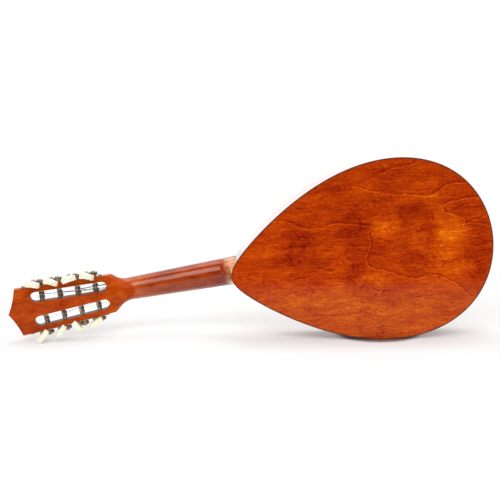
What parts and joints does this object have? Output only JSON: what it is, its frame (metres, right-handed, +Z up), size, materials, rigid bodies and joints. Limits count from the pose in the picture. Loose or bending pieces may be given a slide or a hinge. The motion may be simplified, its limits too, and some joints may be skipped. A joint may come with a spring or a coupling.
{
  "type": "mandolin",
  "caption": "Flat-backed mandolin with a pear-shaped body, slotted headstock and geared tuning machines that turn, standing on the side of its body.",
  "frame": {"origin": "on the floor under the middle of the instrument's bounding box, standing on the treble side of its body and its lowest tuner button", "axes": "+X towards the tail, +Z up, the back of the body faces -Y and the strings face +Y; the neck slopes down towards -X"},
  "size_m": [0.6268, 0.0686, 0.2318],
  "materials": {
    "back": "glossy stained plywood, orange brown, figured grain",
    "ribs": "glossy stained wood, darker red brown",
    "top": "lacquered spruce",
    "inside": "bare spruce and lime",
    "binding": "dark brown edge line",
    "neck": "glossy red-brown stained beech",
    "headstock": "glossy orange-brown stained veneer",
    "board": "dark stained hardwood, oiled",
    "nickel": "worn nickel plate",
    "worn_metal": "aged nickel with brown patina",
    "ivory": "ivory-coloured plastic, polished by use",
    "bone": "bone",
    "guard": "dark mottled plastic",
    "steel_string": "plain and wound steel strings",
    "ebony": "black stained hardwood",
    "inlay": "pearl-coloured inlay"
  },
  "bodies": {
    "mandolin": {"back_plate": "back", "soundboard": "top", "rib_bass": "ribs", "rib_treble": "ribs", "neck_block": "inside", "tail_block": "inside", "linings": "inside", "top_braces": "inside", "back_braces": "inside", "back_binding": "binding", "top_binding": "binding", "rosette": "inlay", "pickguard": "guard", "neck": "neck", "headstock": "headstock", "fingerboard": "board", "frets": "nickel", "position_dots": "inlay", "nut": "bone", "bridge_base": "ebony", "bridge_saddle": "bone", "strings": "steel_string", "tailpiece": "nickel", "tailpiece_screws": "nickel", "end_pin": "ebony", "tuner_plate_bass": "worn_metal", "tuner_plate_treble": "worn_metal", "tuner_plate_screws": "worn_metal"},
    "tuner_bass_1": {"worm_bass_1": "worn_metal", "button_bass_1": "ivory"},
    "post_bass_1": {"post_bass_1": "nickel", "gear_bass_1": "worn_metal"},
    "tuner_bass_2": {"worm_bass_2": "worn_metal", "button_bass_2": "ivory"},
    "post_bass_2": {"post_bass_2": "nickel", "gear_bass_2": "worn_metal"},
    "tuner_bass_3": {"worm_bass_3": "worn_metal", "button_bass_3": "ivory"},
    "post_bass_3": {"post_bass_3": "nickel", "gear_bass_3": "worn_metal"},
    "tuner_bass_4": {"worm_bass_4": "worn_metal", "button_bass_4": "ivory"},
    "post_bass_4": {"post_bass_4": "nickel", "gear_bass_4": "worn_metal"},
    "tuner_treble_1": {"worm_treble_1": "worn_metal", "button_treble_1": "ivory"},
    "post_treble_1": {"post_treble_1": "nickel", "gear_treble_1": "worn_metal"},
    "tuner_treble_2": {"worm_treble_2": "worn_metal", "button_treble_2": "ivory"},
    "post_treble_2": {"post_treble_2": "nickel", "gear_treble_2": "worn_metal"},
    "tuner_treble_3": {"worm_treble_3": "worn_metal", "button_treble_3": "ivory"},
    "post_treble_3": {"post_treble_3": "nickel", "gear_treble_3": "worn_metal"},
    "tuner_treble_4": {"worm_treble_4": "worn_metal", "button_treble_4": "ivory"},
    "post_treble_4": {"post_treble_4": "nickel", "gear_treble_4": "worn_metal"}
  },
  "joints": [
    {"name": "tuner_bass_1_turn", "type": "hinge", "parent": "mandolin", "child": "tuner_bass_1", "pos_m": [-0.21329, 0.00945, 0.08295], "axis": [0.1714, -0.9848, 0.0277], "continuous": true},
    {"name": "post_bass_1_turn", "type": "hinge", "parent": "mandolin", "child": "post_bass_1", "pos_m": [-0.20487, 0.01094, 0.0839], "axis": [-0.1139, 0.0082, 0.9935], "continuous": true},
    {"name": "tuner_bass_2_turn", "type": "hinge", "parent": "mandolin", "child": "tuner_bass_2", "pos_m": [-0.23582, 0.00545, 0.0804], "axis": [0.1714, -0.9848, 0.0277], "continuous": true},
    {"name": "post_bass_2_turn", "type": "hinge", "parent": "mandolin", "child": "post_bass_2", "pos_m": [-0.2274, 0.00694, 0.08135], "axis": [-0.1139, 0.0082, 0.9935], "continuous": true},
    {"name": "tuner_bass_3_turn", "type": "hinge", "parent": "mandolin", "child": "tuner_bass_3", "pos_m": [-0.25835, 0.00146, 0.07784], "axis": [0.1714, -0.9848, 0.0277], "continuous": true},
    {"name": "post_bass_3_turn", "type": "hinge", "parent": "mandolin", "child": "post_bass_3", "pos_m": [-0.24993, 0.00295, 0.0788], "axis": [-0.1139, 0.0082, 0.9935], "continuous": true},
    {"name": "tuner_bass_4_turn", "type": "hinge", "parent": "mandolin", "child": "tuner_bass_4", "pos_m": [-0.28088, -0.00253, 0.07529], "axis": [0.1714, -0.9848, 0.0277], "continuous": true},
    {"name": "post_bass_4_turn", "type": "hinge", "parent": "mandolin", "child": "post_bass_4", "pos_m": [-0.27247, -0.00104, 0.07625], "axis": [-0.1139, 0.0082, 0.9935], "continuous": true},
    {"name": "tuner_treble_1_turn", "type": "hinge", "parent": "mandolin", "child": "tuner_treble_1", "pos_m": [-0.20348, 0.00945, 0.02234], "axis": [0.1714, -0.9848, 0.0277], "continuous": true},
    {"name": "post_treble_1_turn", "type": "hinge", "parent": "mandolin", "child": "post_treble_1", "pos_m": [-0.19519, 0.01094, 0.02409], "axis": [0.2052, 0.0082, -0.9787], "continuous": true},
    {"name": "tuner_treble_2_turn", "type": "hinge", "parent": "mandolin", "child": "tuner_treble_2", "pos_m": [-0.22567, 0.00545, 0.01765], "axis": [0.1714, -0.9848, 0.0277], "continuous": true},
    {"name": "post_treble_2_turn", "type": "hinge", "parent": "mandolin", "child": "post_treble_2", "pos_m": [-0.21738, 0.00694, 0.0194], "axis": [0.2052, 0.0082, -0.9787], "continuous": true},
    {"name": "tuner_treble_3_turn", "type": "hinge", "parent": "mandolin", "child": "tuner_treble_3", "pos_m": [-0.24785, 0.00146, 0.01297], "axis": [0.1714, -0.9848, 0.0277], "continuous": true},
    {"name": "post_treble_3_turn", "type": "hinge", "parent": "mandolin", "child": "post_treble_3", "pos_m": [-0.23957, 0.00295, 0.01472], "axis": [0.2052, 0.0082, -0.9787], "continuous": true},
    {"name": "tuner_treble_4_turn", "type": "hinge", "parent": "mandolin", "child": "tuner_treble_4", "pos_m": [-0.27004, -0.00253, 0.00828], "axis": [0.1714, -0.9848, 0.0277], "continuous": true},
    {"name": "post_treble_4_turn", "type": "hinge", "parent": "mandolin", "child": "post_treble_4", "pos_m": [-0.26175, -0.00104, 0.01003], "axis": [0.2052, 0.0082, -0.9787], "continuous": true}
  ],
  "couplings": [
    {"joint": "post_bass_1_turn", "follows": "tuner_bass_1_turn", "ratio": -0.071429},
    {"joint": "post_bass_2_turn", "follows": "tuner_bass_2_turn", "ratio": -0.071429},
    {"joint": "post_bass_3_turn", "follows": "tuner_bass_3_turn", "ratio": -0.071429},
    {"joint": "post_bass_4_turn", "follows": "tuner_bass_4_turn", "ratio": -0.071429},
    {"joint": "post_treble_1_turn", "follows": "tuner_treble_1_turn", "ratio": -0.071429},
    {"joint": "post_treble_2_turn", "follows": "tuner_treble_2_turn", "ratio": -0.071429},
    {"joint": "post_treble_3_turn", "follows": "tuner_treble_3_turn", "ratio": -0.071429},
    {"joint": "post_treble_4_turn", "follows": "tuner_treble_4_turn", "ratio": -0.071429}
  ]
}
